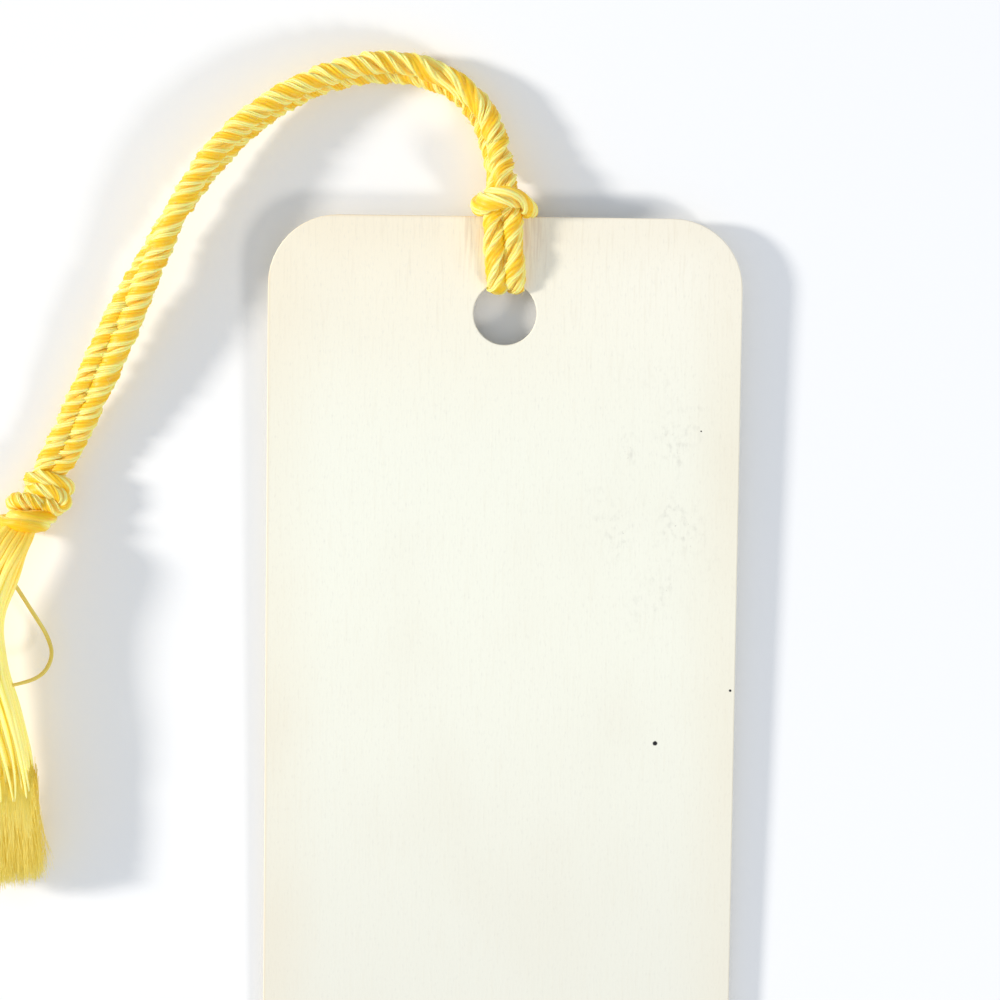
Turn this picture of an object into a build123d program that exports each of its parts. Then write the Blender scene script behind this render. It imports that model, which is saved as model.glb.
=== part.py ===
from build123d import *
import math
import os

# A card bookmark. A doubled twisted cord is tied through its punched hole with a lark's head
# hitch, and its two tails end in one knot and a tassel of their own unravelled yarns.
# Millimetres. The card lies face up on a table at z = 0 with its corded end towards +Y. It rests
# on its lower edge and on the hitch behind the hole, so the hitch's thickness tilts it.

# Card
CARD_WIDTH = 47.6
CARD_LENGTH = 152.0
CARD_THICKNESS = 0.6
CORNER_RADIUS = 7.0
EDGE_ROUND = 0.12
HOLE_DIAMETER = 6.35
HOLE_FROM_TOP = 9.7

# Cord
CORD_DIAMETER = 2.0
CORD_CLEARANCE = 0.05
ARC_SHARE = 0.45

# Hitch, measured from the card's top edge
LEG_REACH = 1.5
LEG_JOINT_DROP = 3.0
BIGHT_TURN = 0.9
BAND_RISE_LEFT = 2.0
BAND_RISE_RIGHT = 1.7
BAND_SIDE_HEIGHT = 0.4
BAND_SHOULDER = 0.2
BAND_SLACK = 0.3

# Tails: (x, y) from the middle of the card's top edge, and z above the table
NECK_LEAD = 2.7
NECK_POINTS = 3
TAIL_LEFT_ROUTE = [
    (-1.6, 6.4, 3.2),
    (-2.2, 8.7, 2.3),
    (-3.3, 10.9, 1.7),
    (-5.0, 12.6, 1.4),
    (-7.6, 13.9, 1.3),
    (-11.0, 14.7, 1.3),
    (-15.2, 14.4, 1.5),
    (-19.8, 12.9, 1.9),
    (-24.5, 10.0, 2.4),
    (-28.7, 5.8, 2.8),
    (-32.6, 0.6, 3.05),
    (-36.2, -5.2, 3.15),
    (-39.3, -11.0, 3.3),
    (-41.9, -16.6, 3.1),
]
TAIL_RIGHT_ROUTE = [
    (0.4, 6.7, 4.0),
    (-0.7, 9.0, 3.9),
    (-2.4, 11.3, 3.5),
    (-4.7, 13.2, 3.35),
    (-7.7, 14.8, 3.2),
    (-11.3, 15.7, 3.15),
    (-15.6, 15.1, 3.45),
    (-20.1, 13.3, 3.95),
    (-24.9, 10.3, 4.45),
    (-29.3, 6.2, 4.8),
    (-32.6, 0.7, 5.12),
    (-35.0, -5.6, 4.95),
    (-37.3, -11.6, 4.1),
    (-39.9, -17.6, 3.3),
]
TAIL_END_RUN = 2.8

# Knot: a core along the cord, one and a half wraps round it, and a round nose at the tassel
KNOT_CENTRE = (-46.6, -29.3)
KNOT_DIRECTION = (-0.41, -0.912)
KNOT_CORE_RADIUS = 2.05
KNOT_ENTRY = 3.0
KNOT_NOSE = 2.2
KNOT_NOSE_RADIUS = 2.0
WRAP_RADIUS = 1.75
WRAP_START = -1.9
WRAP_PITCH = 1.9
WRAP_STEPS = 12
WRAP_STEP_ANGLE = 45.0
WRAP_TUCK_RADIUS = 0.7

# Tassel: four plies of three yarns, each ply frayed to a brush at its end
PLY_COUNT = 4
YARNS_PER_PLY = 3
YARN_DIAMETER = 0.85
YARN_CLEARANCE = 0.06
PLY_PITCH_AT_END = 1.45
TASSEL_ROUTE = [(-50.2, -35.9), (-52.4, -40.3), (-52.3, -45.6), (-51.1, -51.2), (-49.7, -56.8)]
TASSEL_SPREAD = [0.15, 0.5, 0.8, 1.0, 1.0]
TASSEL_HEIGHTS = [3.3, 3.9, 4.1, 3.9, 3.4]
FRAY_LENGTHS = [10.9, 11.6, 11.3, 10.7]
FRAY_HEADING = (0.8, -11.4)
FRAY_PITCH = 1.6
FRAY_GAP = 0.08
FRAY_MIDDLES = [3.4, 2.9, 2.65]
FRAY_HEIGHTS = [3.0, 4.6, 5.1]
FRAY_CORNER = 0.4

# Stray yarn: one yarn bowed out of the tassel's inner side
STRAY_DIAMETER = 0.5
STRAY_ROUTE = [
    (-48.1, -36.8, 4.0),
    (-47.8, -38.9, 3.4),
    (-47.0, -40.9, 2.6),
    (-46.0, -42.8, 2.0),
    (-45.5, -44.4, 1.9),
    (-46.2, -45.9, 2.2),
    (-47.6, -46.7, 2.9),
    (-49.15, -47.0, 3.5),
]

# Places that follow from the sizes
CORD_RADIUS = CORD_DIAMETER / 2
LEG_OFFSET = (CORD_DIAMETER + CORD_CLEARANCE) / 2
LEG_HEIGHT = CARD_THICKNESS / 2 + CORD_CLEARANCE + CORD_RADIUS
TOP_EDGE = CARD_LENGTH / 2
HOLE_HEIGHT = TOP_EDGE - HOLE_FROM_TOP
RIM_HEIGHT = HOLE_HEIGHT + math.sqrt((HOLE_DIAMETER / 2) ** 2 - LEG_OFFSET**2)


def resting_place():
    """The card's place when its lower edge and the hitch's back legs touch the table."""
    lever = RIM_HEIGHT + CARD_LENGTH / 2
    half_thickness = CARD_THICKNESS / 2
    drop = LEG_HEIGHT + CORD_RADIUS
    tilt = math.asin(drop / math.hypot(lever, half_thickness)) - math.atan2(half_thickness, lever)
    lift = CARD_LENGTH / 2 * math.sin(tilt) + half_thickness * math.cos(tilt)
    return Location((0, 0, lift), (math.degrees(tilt), 0, 0))


REST = resting_place()
TOP_EDGE_Y = (REST * Pos(0, TOP_EDGE, 0)).position.Y


def on_card(x, y, z):
    """A point of the tilted card, given in the flat card's own frame."""
    return (REST * Pos(x, y, z)).position


def on_table(x, y, z):
    """A point given from the middle of the card's top edge, with its height above the table."""
    return Vector(x, TOP_EDGE_Y + y, z)


def bend_radii(points):
    """The largest arcs that the runs beside each corner leave room for."""
    radii = []
    for before, corner, after in zip(points, points[1:], points[2:]):
        run_in = corner - before
        run_out = after - corner
        half_turn = math.radians(run_in.get_angle(run_out)) / 2
        radii.append(ARC_SHARE * min(run_in.length, run_out.length) / math.tan(half_turn))
    return radii


def round_section(path, diameter):
    """A round face square to the start of a path."""
    return Plane(origin=path @ 0, z_dir=path % 0) * Circle(diameter / 2)


def report_tube(name, solid, path, diameter, radii):
    """Print a tube's bends, and its volume beside its section times its length."""
    expected = math.pi * diameter**2 / 4 * path.length
    bends = ", ".join(f"{radius:.1f}" for radius in radii)
    print(f"{name}: length {path.length:.1f}, volume {solid.volume:.2f} of {expected:.2f}, bends {bends}")


def tube(name, points, diameter, radii):
    """A round tube along straight runs joined by tangent arcs."""
    path = FilletPolyline(*points, radius=radii)
    solid = sweep(round_section(path, diameter), path=path)
    report_tube(name, solid, path, diameter, radii)
    return solid


def make_card():
    """The die-cut card with its round corners and punched hole."""
    outline = RectangleRounded(CARD_WIDTH, CARD_LENGTH, CORNER_RADIUS)
    hole = Pos(0, HOLE_HEIGHT) * Circle(HOLE_DIAMETER / 2)
    blank = extrude(outline - hole, CARD_THICKNESS / 2, both=True)
    rims = blank.edges().filter_by(Axis.Z, reverse=True)
    return REST * fillet(rims, EDGE_ROUND)


def make_hitch_leg(name, side):
    """A front leg: down the card's face, through the hole and up behind it."""
    x = side * LEG_OFFSET
    front_top = (x, TOP_EDGE + LEG_REACH, LEG_HEIGHT)
    front_rim = (x, RIM_HEIGHT, LEG_HEIGHT)
    through = (x, RIM_HEIGHT - LEG_HEIGHT, 0)
    back_rim = (x, RIM_HEIGHT, -LEG_HEIGHT)
    back_top = (x, TOP_EDGE - LEG_JOINT_DROP, -LEG_HEIGHT)
    path = Wire(
        [
            Edge.make_line(front_top, front_rim),
            Edge.make_three_point_arc(front_rim, through, back_rim),
            Edge.make_line(back_rim, back_top),
        ]
    )
    solid = sweep(round_section(path, CORD_DIAMETER), path=path)
    report_tube(name, solid, path, CORD_DIAMETER, [LEG_HEIGHT])
    return REST * solid


def make_hitch_bight(name):
    """The bight: up from both back legs, round the tails and across in front of them."""
    side = LEG_OFFSET + CORD_DIAMETER + BAND_SLACK
    band = LEG_HEIGHT + CORD_DIAMETER + BAND_SLACK

    def half(sign, rise):
        return [
            (sign * LEG_OFFSET, TOP_EDGE - LEG_JOINT_DROP, -LEG_HEIGHT),
            (sign * LEG_OFFSET, TOP_EDGE + BIGHT_TURN, -LEG_HEIGHT),
            (sign * side, TOP_EDGE + rise, BAND_SIDE_HEIGHT),
            (sign * (side - BAND_SHOULDER), TOP_EDGE + rise, band),
        ]

    route = half(-1, BAND_RISE_LEFT) + half(1, BAND_RISE_RIGHT)[::-1]
    points = [on_card(*point) for point in route]
    return tube(name, points, CORD_DIAMETER, bend_radii(points))


def tail_points(side, route):
    """All the points of one tail, from its hitch leg to the knot."""
    lead_start = on_card(side * LEG_OFFSET, TOP_EDGE + LEG_REACH, LEG_HEIGHT)
    lead_end = on_card(side * LEG_OFFSET, TOP_EDGE + LEG_REACH + NECK_LEAD, LEG_HEIGHT)
    entry = knot_frame().from_local_coords((side * LEG_OFFSET, 0, -KNOT_ENTRY))
    approach = knot_frame().from_local_coords((side * LEG_OFFSET, 0, -KNOT_ENTRY - TAIL_END_RUN))
    return [lead_start, lead_end] + [on_table(*point) for point in route] + [approach, entry]


def make_tail(side_name, side, route):
    """One tail as two stretches: the neck, which bends, and the rest up to the knot."""
    points = tail_points(side, route)
    radii = bend_radii(points)
    bends = NECK_POINTS + 1
    first = points[: bends + 1]
    rest = points[bends + 1 :]
    joint = (first[-1] + rest[0]) / 2
    neck = tube(f"neck_{side_name}", first + [joint], CORD_DIAMETER, radii[:bends])
    tail = tube(f"tail_{side_name}", [joint] + rest, CORD_DIAMETER, radii[bends:])
    return neck, tail


def knot_frame():
    """The knot's frame: local Z runs along the cord to the tassel, local Y is up."""
    height = WRAP_RADIUS + CORD_RADIUS
    along = Vector(KNOT_DIRECTION[0], KNOT_DIRECTION[1], 0)
    across = Vector(0, 0, 1).cross(along)
    return Plane(origin=on_table(*KNOT_CENTRE, height), x_dir=across, z_dir=along)


def make_knot(name):
    """The overhand knot that binds both tails, with a round nose where the tassel swings."""
    core_length = KNOT_ENTRY + KNOT_NOSE
    core = Pos(0, 0, KNOT_NOSE - core_length / 2) * Cylinder(KNOT_CORE_RADIUS, core_length)
    nose = Pos(0, 0, KNOT_NOSE) * Sphere(KNOT_NOSE_RADIUS)
    wrap_points = []
    for step in range(WRAP_STEPS + 1):
        angle = math.radians(step * WRAP_STEP_ANGLE)
        tucked = step in (0, WRAP_STEPS)
        radius = WRAP_TUCK_RADIUS if tucked else WRAP_RADIUS
        advance = WRAP_START + WRAP_PITCH * step * WRAP_STEP_ANGLE / 360
        wrap_points.append(Vector(radius * math.cos(angle), radius * math.sin(angle), advance))
    wrap = tube(name, wrap_points, CORD_DIAMETER, bend_radii(wrap_points))
    return knot_frame().location * (core + nose + wrap)


def tassel_stations():
    """Places along the tassel's middle, each with the direction across it."""
    places = [on_table(x, y, 0) for x, y in TASSEL_ROUTE]
    stations = []
    for index, place in enumerate(places):
        before = places[max(index - 1, 0)]
        after = places[min(index + 1, len(places) - 1)]
        if index == len(places) - 2:
            before = place
        across = Vector(0, 0, 1).cross((after - before).normalized())
        stations.append((place, across))
    return stations


def yarn_points(ply, row):
    """The route of one yarn, from the knot's round nose to the frayed end."""
    knot_pitch = YARN_DIAMETER + YARN_CLEARANCE
    column = ply - (PLY_COUNT - 1) / 2
    level = row - (YARNS_PER_PLY - 1) / 2
    from_axis = math.hypot(column, level) * knot_pitch
    reach_in = max(from_axis - YARN_DIAMETER / 2, 0)
    nose_surface = math.sqrt(KNOT_NOSE_RADIUS**2 - reach_in**2) + YARN_CLEARANCE
    frame = knot_frame()
    start = frame.from_local_coords((column * knot_pitch, level * knot_pitch, KNOT_NOSE + nose_surface))
    points = [start]
    for (place, across), spread, middle in zip(tassel_stations(), TASSEL_SPREAD, TASSEL_HEIGHTS):
        pitch = knot_pitch + spread * (PLY_PITCH_AT_END - knot_pitch)
        points.append(place + across * (column * pitch) + Vector(0, 0, middle + level * knot_pitch))
    return points


def make_ply(name, ply):
    """One ply of the cord, opened into its separate yarns."""
    yarns = []
    for row in range(YARNS_PER_PLY):
        points = yarn_points(ply, row)
        yarns.append(tube(f"{name} yarn {row + 1}", points, YARN_DIAMETER, bend_radii(points)))
    return Compound(children=yarns)


def make_frayed_end(ply):
    """The brush of loose fibres at the end of one ply, which spreads down to the table."""
    column = ply - (PLY_COUNT - 1) / 2
    place, across = tassel_stations()[-1]
    first_heading = across.cross(Vector(0, 0, 1))
    last_heading = Vector(FRAY_HEADING[0], FRAY_HEADING[1], 0).normalized()
    sections = []
    for index, (middle, height) in enumerate(zip(FRAY_MIDDLES, FRAY_HEIGHTS)):
        share = index / (len(FRAY_HEIGHTS) - 1)
        heading = (first_heading * (1 - share) + last_heading * share).normalized()
        sideways = Vector(0, 0, 1).cross(heading)
        pitch = PLY_PITCH_AT_END + share * (FRAY_PITCH - PLY_PITCH_AT_END)
        along = YARN_CLEARANCE + share * FRAY_LENGTHS[ply]
        centre = place + heading * along + sideways * (column * pitch) + Vector(0, 0, middle)
        plane = Plane(origin=centre, x_dir=sideways, z_dir=heading)
        sections.append(plane * RectangleRounded(pitch - FRAY_GAP, height, FRAY_CORNER))
    return loft(sections)


def make_stray_yarn(name):
    """The single yarn that bows out of the tassel."""
    points = [on_table(*point) for point in STRAY_ROUTE]
    return tube(name, points, STRAY_DIAMETER, bend_radii(points))


def main():
    """Build every piece and write one file for each."""
    neck_left, tail_left = make_tail("left", -1, TAIL_LEFT_ROUTE)
    neck_right, tail_right = make_tail("right", 1, TAIL_RIGHT_ROUTE)
    pieces = {
        "card": make_card(),
        "hitch_leg_left": make_hitch_leg("hitch_leg_left", -1),
        "hitch_leg_right": make_hitch_leg("hitch_leg_right", 1),
        "hitch_bight": make_hitch_bight("hitch_bight"),
        "neck_left": neck_left,
        "neck_right": neck_right,
        "tail_left": tail_left,
        "tail_right": tail_right,
        "tassel_knot": make_knot("tassel_knot wrap"),
        "stray_yarn": make_stray_yarn("stray_yarn"),
    }
    for ply in range(PLY_COUNT):
        name = f"tassel_ply_{ply + 1}"
        pieces[name] = make_ply(name, ply)
        pieces[f"frayed_end_{ply + 1}"] = make_frayed_end(ply)
    os.makedirs("parts", exist_ok=True)
    for name, piece in pieces.items():
        export_step(piece, f"parts/{name}.step")


main()
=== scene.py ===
"""Looks of a card bookmark with a yellow cord tied through its punched hole.

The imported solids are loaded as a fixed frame. The card keeps its solid and gets a paper finish. The cord
is built anew as twisted plies: a lark's head hitch through the hole, two tails, an overhand knot and a
tassel of its own unravelled yarns. Sizes are in millimetres, and Blender's objects are in metres.
"""

import logging
import math
import random
from dataclasses import dataclass, field
from enum import Enum

import bpy
import numpy as np
from mathutils import Euler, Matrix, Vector

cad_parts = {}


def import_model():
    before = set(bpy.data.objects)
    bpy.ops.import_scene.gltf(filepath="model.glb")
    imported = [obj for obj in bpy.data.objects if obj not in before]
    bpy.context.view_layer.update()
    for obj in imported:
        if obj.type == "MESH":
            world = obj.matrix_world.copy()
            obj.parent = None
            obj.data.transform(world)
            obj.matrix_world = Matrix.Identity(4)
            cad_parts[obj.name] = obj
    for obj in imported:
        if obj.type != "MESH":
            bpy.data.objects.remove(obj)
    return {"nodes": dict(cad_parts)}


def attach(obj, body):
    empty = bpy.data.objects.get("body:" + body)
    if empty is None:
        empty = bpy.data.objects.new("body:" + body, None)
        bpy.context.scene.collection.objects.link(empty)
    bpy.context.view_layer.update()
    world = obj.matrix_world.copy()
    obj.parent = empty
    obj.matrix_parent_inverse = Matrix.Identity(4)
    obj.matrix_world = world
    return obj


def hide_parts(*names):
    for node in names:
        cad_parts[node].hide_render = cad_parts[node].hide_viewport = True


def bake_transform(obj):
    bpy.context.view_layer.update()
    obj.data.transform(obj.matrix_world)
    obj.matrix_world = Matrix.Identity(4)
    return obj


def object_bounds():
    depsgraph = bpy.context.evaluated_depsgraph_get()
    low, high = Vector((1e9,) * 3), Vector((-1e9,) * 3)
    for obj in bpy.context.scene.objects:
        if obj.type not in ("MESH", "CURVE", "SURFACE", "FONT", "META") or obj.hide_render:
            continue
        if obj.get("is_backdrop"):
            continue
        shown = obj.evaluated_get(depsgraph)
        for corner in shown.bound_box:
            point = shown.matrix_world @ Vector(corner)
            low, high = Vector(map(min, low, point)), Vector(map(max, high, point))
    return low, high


LOG = logging.getLogger("bookmark")
MM = 0.001
TINY = 1e-6

# The curve between a screen's colours and light
SCREEN_FULL = 255
CURVE_FOOT = 0.04045
CURVE_SLOPE = 12.92
CURVE_OFFSET = 0.055
CURVE_POWER = 2.4

# The order of the routes' splines, and a direction that no strand starts along
SPLINE_ORDER = 3
ASIDE = (0.3, 0.2, 1.0)

Point = tuple[float, float, float]
Spot = tuple[float, float, float, float, float]
Flat = tuple[float, float]
Range = tuple[float, float]
Colour = tuple[int, int, int]


class Slot(Enum):
    """The record's material slots."""

    CARD = "card_stock"
    CORD = "cord_rayon"
    FRAY = "frayed_rayon"


class Body(Enum):
    """The bodies that the pieces ride on."""

    CARD = "card"
    NECK = "cord_neck"
    TAIL = "cord_tail"
    TASSEL = "tassel"


class Side(Enum):
    """The two halves of the doubled cord, with the sign of their side of the card."""

    LEFT = -1
    RIGHT = 1


def linear(colour: Colour) -> tuple[float, float, float, float]:
    """Turn a colour as a screen shows it into the numbers that a shader takes.

    Args:
        colour: Red, green and blue from 0 to 255.

    Returns:
        Linear red, green, blue and an alpha of 1.
    """
    channels = []
    for value in colour:
        share = value / SCREEN_FULL
        if share <= CURVE_FOOT:
            channels.append(share / CURVE_SLOPE)
        else:
            channels.append(((share + CURVE_OFFSET) / (1 + CURVE_OFFSET)) ** CURVE_POWER)
    return (*channels, 1.0)


def ring_angles(sides: int) -> np.ndarray:
    """The angles of a ring's points, evenly spread."""
    return np.linspace(0, 2 * math.pi, sides, endpoint=False)


class NodeGraph:
    """A material's node tree, with short calls for the nodes that the finishes use."""

    def __init__(self, name: str) -> None:
        """Start a material with one principled shader.

        Args:
            name: The material's name.
        """
        self.material = bpy.data.materials.new(name)
        self.material.use_nodes = True
        self.tree = self.material.node_tree
        self.shader = self.tree.nodes["Principled BSDF"]

    def node(self, kind: str, **settings: object) -> bpy.types.Node:
        """Add a node.

        Args:
            kind: The node's type name in Blender.
            settings: Its properties.

        Returns:
            The node.
        """
        made = self.tree.nodes.new(kind)
        for name, value in settings.items():
            setattr(made, name, value)
        return made

    def feed(self, socket: bpy.types.NodeSocket, value: object) -> None:
        """Link a socket to another node's output, or set its number.

        Args:
            socket: The input to feed.
            value: A socket or a number.
        """
        if isinstance(value, bpy.types.NodeSocket):
            self.tree.links.new(value, socket)
        else:
            socket.default_value = value

    def math(self, operation: str, first: object, second: object = 0.0) -> bpy.types.NodeSocket:
        """Combine two numbers.

        Args:
            operation: Blender's name of the operation.
            first: A socket or a number.
            second: A socket or a number.

        Returns:
            The result.
        """
        made = self.node("ShaderNodeMath", operation=operation)
        self.feed(made.inputs[0], first)
        self.feed(made.inputs[1], second)
        return made.outputs[0]

    def vector(self, operation: str, first: object, second: object) -> bpy.types.NodeSocket:
        """Combine two vectors.

        Args:
            operation: Blender's name of the operation.
            first: A socket or three numbers.
            second: A socket or three numbers.

        Returns:
            The result, a number for a distance and a vector otherwise.
        """
        made = self.node("ShaderNodeVectorMath", operation=operation)
        self.feed(made.inputs[0], first)
        self.feed(made.inputs[1], second)
        return made.outputs["Value"] if operation == "DISTANCE" else made.outputs["Vector"]

    def ramp(self, value: object, window: Range) -> bpy.types.NodeSocket:
        """Map a range of numbers to 0 to 1, eased in and out, and hold it there outside.

        Args:
            value: The number.
            window: What becomes 0 and what becomes 1.

        Returns:
            The mapped number.
        """
        made = self.node("ShaderNodeMapRange", interpolation_type="SMOOTHSTEP")
        self.feed(made.inputs["Value"], value)
        made.inputs["From Min"].default_value = window[0]
        made.inputs["From Max"].default_value = window[1]
        return made.outputs["Result"]

    def part(self, value: object, window: Range, most: object) -> bpy.types.NodeSocket:
        """A ramp that ends at a given share instead of 1."""
        return self.math("MULTIPLY", self.ramp(value, window), most)

    def span(self, value: object, limits: Range) -> bpy.types.NodeSocket:
        """Map 0 to 1 onto the limits."""
        return self.math("ADD", self.math("MULTIPLY", value, limits[1] - limits[0]), limits[0])

    def mix(self, share: object, first: object, second: object) -> bpy.types.NodeSocket:
        """Mix two colours.

        Args:
            share: How much of the second colour.
            first: A socket or a colour.
            second: A socket or a colour.

        Returns:
            The mixed colour.
        """
        made = self.node("ShaderNodeMix", data_type="RGBA")
        sockets = {socket.identifier: socket for socket in made.inputs}
        self.feed(sockets["Factor_Float"], share)
        self.feed(sockets["A_Color"], first)
        self.feed(sockets["B_Color"], second)
        return next(socket for socket in made.outputs if socket.identifier == "Result_Color")

    def paint(self, colour: object, layers: list[tuple[object, Colour]]) -> bpy.types.NodeSocket:
        """Lay colours over a first one.

        Args:
            colour: The colour below them all.
            layers: The share and the colour of each layer, from the lowest up.

        Returns:
            The colour that is seen.
        """
        for share, tint in layers:
            colour = self.mix(share, colour, linear(tint))
        return colour

    def noise(self, place: object, scale: Point, detail: float, turn: object = 0.0) -> bpy.types.NodeSocket:
        """Noise that may be stretched along an axis.

        Args:
            place: The coordinates.
            scale: Patches per unit along each axis.
            detail: How many finer layers it has.
            turn: A number that gives each strand its own noise.

        Returns:
            The noise, about 0.5 in the middle.
        """
        made = self.node("ShaderNodeTexNoise", noise_dimensions="4D")
        self.feed(made.inputs["Vector"], self.vector("MULTIPLY", place, scale))
        self.feed(made.inputs["W"], turn)
        made.inputs["Scale"].default_value = 1.0
        made.inputs["Detail"].default_value = detail
        return made.outputs[0]

    def attribute(self, name: str, output: str) -> bpy.types.NodeSocket:
        """Read a mesh attribute."""
        return self.node("ShaderNodeAttribute", attribute_name=name).outputs[output]

    def bump(self, height: object, strength: float, distance: float) -> None:
        """Give the shader a bump.

        Args:
            height: The height, from 0 to 1.
            strength: How strongly it shows.
            distance: Its depth in millimetres.
        """
        made = self.node("ShaderNodeBump")
        made.inputs["Strength"].default_value = strength
        made.inputs["Distance"].default_value = distance * MM
        self.feed(made.inputs["Height"], height)
        self.tree.links.new(made.outputs["Normal"], self.shader.inputs["Normal"])

    def constants(self, **values: object) -> None:
        """Set the shader's own numbers, by socket name with underscores for spaces."""
        for name, value in values.items():
            self.shader.inputs[name.replace("_", " ")].default_value = value


@dataclass(frozen=True)
class NoisePatch:
    """A noise that shows over part of its range, with its own scale, detail, turn and share at most."""

    scale: Point
    detail: float
    turn: float
    shown: Range
    most: float

    def on(self, graph: NodeGraph, place: object) -> bpy.types.NodeSocket:
        """Lay the noise on a place."""
        return graph.part(graph.noise(place, self.scale, self.detail, self.turn), self.shown, self.most)


@dataclass(frozen=True)
class PaperFinish:
    """Cream card stock: fine fibres, toned edges, streaks of rubbing and painted hitch shadow beside the
    hitch, and handling dirt.

    A fade is the stretch of the card, from its middle, over which one look turns into another. A range is the
    part of a noise that shows, and a share is how much of a colour it brings.
    """

    half_width: float = 23.8
    half_length: float = 76.0
    upper: Colour = (254, 246, 224)
    upper_right: Colour = (255, 250, 233)
    middle: Colour = (251, 250, 234)
    lower: Colour = (242, 240, 226)
    toned: Colour = (240, 219, 184)
    streak: Colour = (236, 228, 208)
    fleck: Colour = (228, 226, 216)
    # Painted shadow of the hitch legs, warmed by the cord's reflected light, together with the rubbing beside
    # the hitch
    rub_and_shade: Colour = (205, 176, 150)
    dirt: Colour = (164, 162, 158)
    ink: Colour = (38, 36, 40)
    lower_fade: Range = (-10.0, 40.0)
    upper_fade: Range = (50.0, 76.0)
    right_fade: Range = (-6.0, 16.0)
    laid_scale: Point = (3.6, 0.22, 1.0)
    laid_detail: float = 2.0
    laid_range: Range = (0.50, 0.76)
    laid_fade: Range = (56.0, 76.0)
    laid_share: Range = (0.16, 0.40)
    fibre_scale: Point = (5.6, 1.5, 1.0)
    fibre_detail: float = 3.0
    fibre_range: Range = (0.52, 0.78)
    fibre_share: float = 0.42
    cloud_scale: Point = (0.07, 0.05, 1.0)
    cloud_detail: float = 2.0
    cloud_range: Range = (0.45, 0.75)
    cloud_share: float = 0.16
    toned_inset: Range = (7.0, 0.0)
    toned_share: Range = (0.05, 0.32)
    worn_inset: Range = (0.55, 0.0)
    worn_fade: Range = (-20.0, 20.0)
    worn_share: Range = (0.55, 0.25)
    # Where the streaks of rubbing and painted hitch shadow lie
    rub_shade_middle: float = -0.3
    rub_shade_beside: Range = (5.6, 2.6)
    rub_shade_fade: Range = (68.0, 74.5)
    rub_shade_range: Range = (0.42, 0.6)
    rub_shade_share: Range = (0.04, 0.34)
    dirt_centre: Point = (15.4, 48.0, 0.0)
    dirt_reach: Point = (8.6, 17.0, 10.0)
    dirt_inside: Range = (1.1, 0.25)
    dirt_patches: NoisePatch = NoisePatch(
        scale=(0.26, 0.17, 1.0), detail=3.0, turn=0.0, shown=(0.42, 0.62), most=1.0
    )
    dirt_smears: NoisePatch = NoisePatch(
        scale=(1.5, 1.1, 1.0), detail=5.0, turn=4.0, shown=(0.48, 0.74), most=0.28
    )
    dirt_flecks: NoisePatch = NoisePatch(
        scale=(2.6, 2.2, 1.0), detail=4.0, turn=9.0, shown=(0.61, 0.76), most=0.60
    )
    ink_specks: tuple[tuple[Point, float], ...] = (
        ((15.8, 22.9, 0.0), 0.24),
        ((23.3, 28.4, 0.0), 0.14),
        ((19.9, 54.7, 0.0), 0.09),
    )
    ink_ragged: Range = (-0.1, 0.1)
    ink_edge: Range = (1.2, 0.7)
    roughness: Range = (0.74, 0.92)
    specular: float = 0.25
    laid_height: float = 0.5
    fibre_height: float = 0.6
    bump_strength: float = 0.4
    bump_depth: float = 0.04

    def material(self) -> bpy.types.Material:
        """Build the paper material.

        Returns:
            The material, placed by the card's own coordinates.
        """
        graph = NodeGraph(Slot.CARD.value)
        coordinates = graph.node("ShaderNodeTexCoord").outputs["Object"]
        place = graph.vector("MULTIPLY", coordinates, (1 / MM, 1 / MM, 1 / MM))
        axes = graph.node("ShaderNodeSeparateXYZ")
        graph.feed(axes.inputs[0], place)
        x, y = axes.outputs["X"], axes.outputs["Y"]
        flat = graph.vector("MULTIPLY", place, (1.0, 1.0, 0.0))
        laid = graph.noise(flat, self.laid_scale, self.laid_detail)
        fibre = graph.noise(flat, self.fibre_scale, self.fibre_detail)
        cloud = graph.noise(flat, self.cloud_scale, self.cloud_detail)
        colour = graph.mix(graph.ramp(y, self.lower_fade), linear(self.lower), linear(self.middle))
        # Yellower towards the top of the card, most at the upper left
        upper_tone = graph.mix(graph.ramp(x, self.right_fade), linear(self.upper), linear(self.upper_right))
        colour = graph.mix(graph.ramp(y, self.upper_fade), colour, upper_tone)
        lines = graph.span(graph.ramp(y, self.laid_fade), self.laid_share)
        layers = [
            (graph.part(laid, self.laid_range, lines), self.streak),
            (graph.part(fibre, self.fibre_range, self.fibre_share), self.fleck),
            (graph.part(cloud, self.cloud_range, self.cloud_share), self.streak),
            (self.edge_tone(graph, x, y, cloud), self.toned),
            # Streaks of rubbing and painted shadow of the hitch legs
            (self.rub_and_shade_marks(graph, x, y, laid), self.rub_and_shade),
            (self.handling_dirt(graph, flat), self.dirt),
        ]
        ragged = graph.span(fibre, self.ink_ragged)
        for centre, radius in self.ink_specks:
            away = graph.math("ADD", graph.vector("DISTANCE", flat, centre), ragged)
            edge = (radius * self.ink_edge[0], radius * self.ink_edge[1])
            layers.append((graph.ramp(away, edge), self.ink))
        graph.feed(graph.shader.inputs["Base Color"], graph.paint(colour, layers))
        graph.feed(graph.shader.inputs["Roughness"], graph.span(fibre, self.roughness))
        graph.constants(Specular_IOR_Level=self.specular)
        lines_height = graph.math("MULTIPLY", laid, self.laid_height)
        height = graph.math("ADD", lines_height, graph.math("MULTIPLY", fibre, self.fibre_height))
        graph.bump(height, self.bump_strength, self.bump_depth)
        return graph.material

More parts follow.
